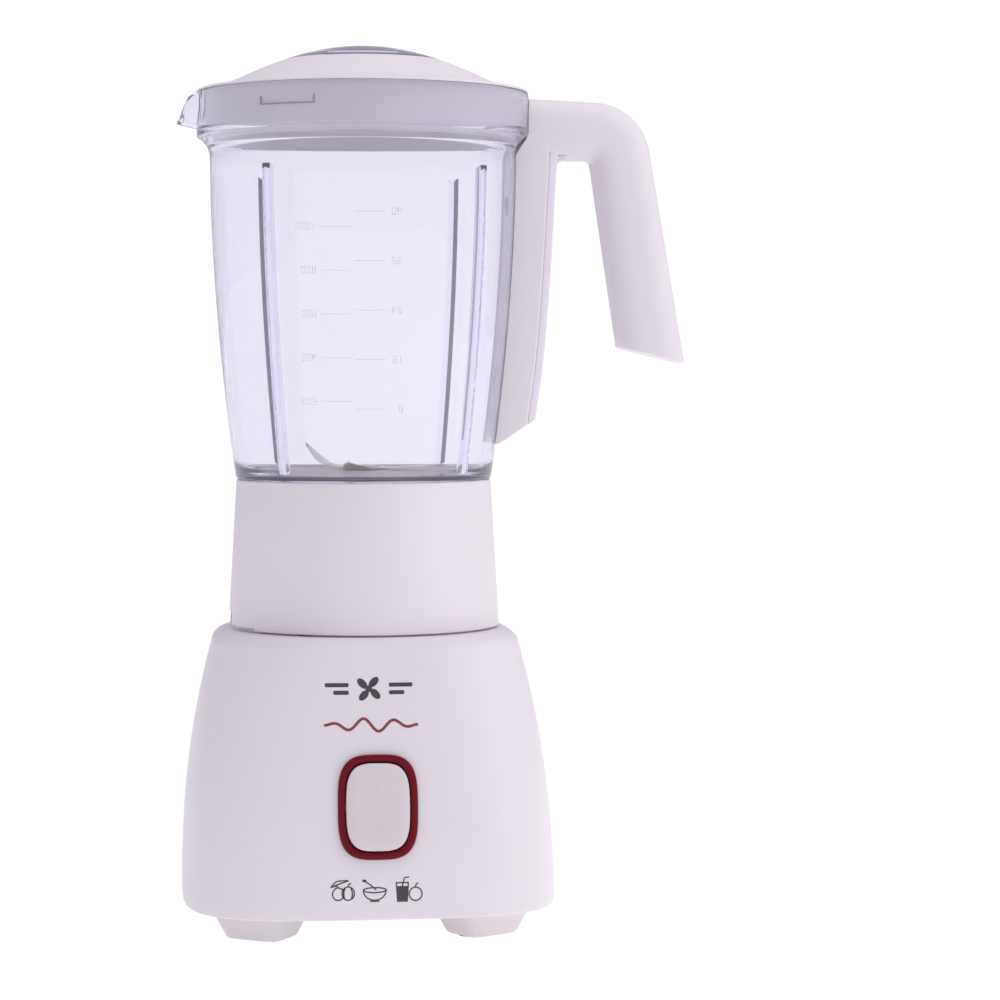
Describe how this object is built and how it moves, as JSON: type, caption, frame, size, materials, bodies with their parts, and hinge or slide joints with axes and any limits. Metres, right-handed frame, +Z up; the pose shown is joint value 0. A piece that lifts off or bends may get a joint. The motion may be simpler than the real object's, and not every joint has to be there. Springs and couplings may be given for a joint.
{
  "type": "countertop blender",
  "caption": "Countertop blender: motor base with rocker switch, clear jug with open hook handle and spout, domed lid with filler cap, lift-off blade unit.",
  "frame": {"origin": "on the table plane, directly under the drive axis", "axes": "+Z up along the drive axis, the switch faces -Y, the handle points to +X and the spout to -X"},
  "size_m": [0.2171, 0.1797, 0.3722],
  "materials": {
    "white_plastic": "fine satin moulded",
    "strip_plastic": "fine satin moulded",
    "burgundy_plastic": "semi-gloss moulded",
    "clear_plastic": "clear moulded plastic with a faint violet tint",
    "cap_plastic": "clear moulded plastic with a violet tint",
    "tan_plastic": "satin moulded",
    "black_plastic": "satin moulded",
    "grey_plastic": "satin moulded",
    "ivory_plastic": "satin moulded",
    "red_plastic": "satin moulded",
    "yellow_plastic": "smooth moulded",
    "black_rubber": "matt",
    "white_rubber": "matt",
    "steel": "ground and polished",
    "iron": "varnished laminations",
    "copper": "enamelled copper",
    "bronze": "sintered",
    "cast_alloy": "die cast",
    "carbon": "pressed carbon"
  },
  "bodies": {
    "base": {"housing": "white_plastic", "base_cover": "white_plastic", "rubber_feet": "black_rubber", "cover_screws": "steel", "switch_bezel": "burgundy_plastic", "switch_body": "black_plastic", "cord_gland": "black_rubber", "suppressor": "yellow_plastic", "motor_stator": "iron", "field_coils": "copper", "upper_bracket": "cast_alloy", "lower_bracket": "cast_alloy", "upper_bearing": "steel", "lower_bearing": "steel", "motor_screws": "steel", "motor_mounts": "black_rubber", "brush_holders": "ivory_plastic", "carbon_brushes": "carbon", "brush_springs": "steel", "interlock_guide": "ivory_plastic", "interlock_spring": "steel", "microswitch": "black_plastic"},
    "rotor": {"motor_shaft": "steel", "armature_core": "iron", "armature_windings": "copper", "commutator": "copper", "cooling_fan": "ivory_plastic", "drive_coupling": "grey_plastic"},
    "rocker_body": {"rocker": "white_plastic"},
    "interlock": {"interlock_plunger": "red_plastic"},
    "jug_base": {"collar": "white_plastic", "blade_carrier": "tan_plastic", "jug_gasket": "white_rubber", "shaft_bushes": "bronze", "shaft_seal": "black_rubber"},
    "blade_unit": {"blade_shaft": "steel", "upper_blade": "steel", "lower_blade": "steel", "blade_washers": "steel", "blade_nut": "steel", "shaft_circlip": "steel", "jug_coupling": "grey_plastic"},
    "jug_body": {"jug": "clear_plastic", "handle": "white_plastic", "handle_strip": "strip_plastic", "handle_screws": "steel"},
    "lid_body": {"lid": "white_plastic"},
    "cap": {"filler_cap": "cap_plastic"}
  },
  "joints": [
    {"name": "motor_spin", "type": "hinge", "parent": "base", "child": "rotor", "pos_m": [0, 0, 0.08], "axis": [0, 0, 1], "continuous": true},
    {"name": "rocker_tilt", "type": "hinge", "parent": "base", "child": "rocker_body", "pos_m": [0, -0.07839, 0.05875], "axis": [1, 0, 0], "range_deg": [-8, 8]},
    {"name": "interlock_travel", "type": "slide", "parent": "base", "child": "interlock", "axis": [0, 0, 1], "range_m": [0, 0.0025], "deforming": ["interlock_spring"]},
    {"name": "jug_lift", "type": "slide", "parent": "base", "child": "jug_base", "axis": [0, 0, 1], "range_m": [0, 0.06]},
    {"name": "blade_spin", "type": "hinge", "parent": "jug_base", "child": "blade_unit", "pos_m": [0, 0, 0.17], "axis": [0, 0, 1], "continuous": true},
    {"name": "jug_turn", "type": "hinge", "parent": "jug_base", "child": "jug_body", "pos_m": [0, 0, 0.18], "axis": [0, 0, 1], "range_deg": [0, 30]},
    {"name": "lid_lift", "type": "slide", "parent": "jug_body", "child": "lid_body", "axis": [0, 0, 1], "range_m": [0, 0.06]},
    {"name": "cap_lift", "type": "slide", "parent": "lid_body", "child": "cap", "axis": [0, 0, 1], "range_m": [0, 0.03]}
  ],
  "couplings": [
    {"joint": "blade_spin", "follows": "motor_spin", "ratio": 1},
    {"joint": "interlock_travel", "follows": "jug_lift", "ratio": 0.0416}
  ]
}
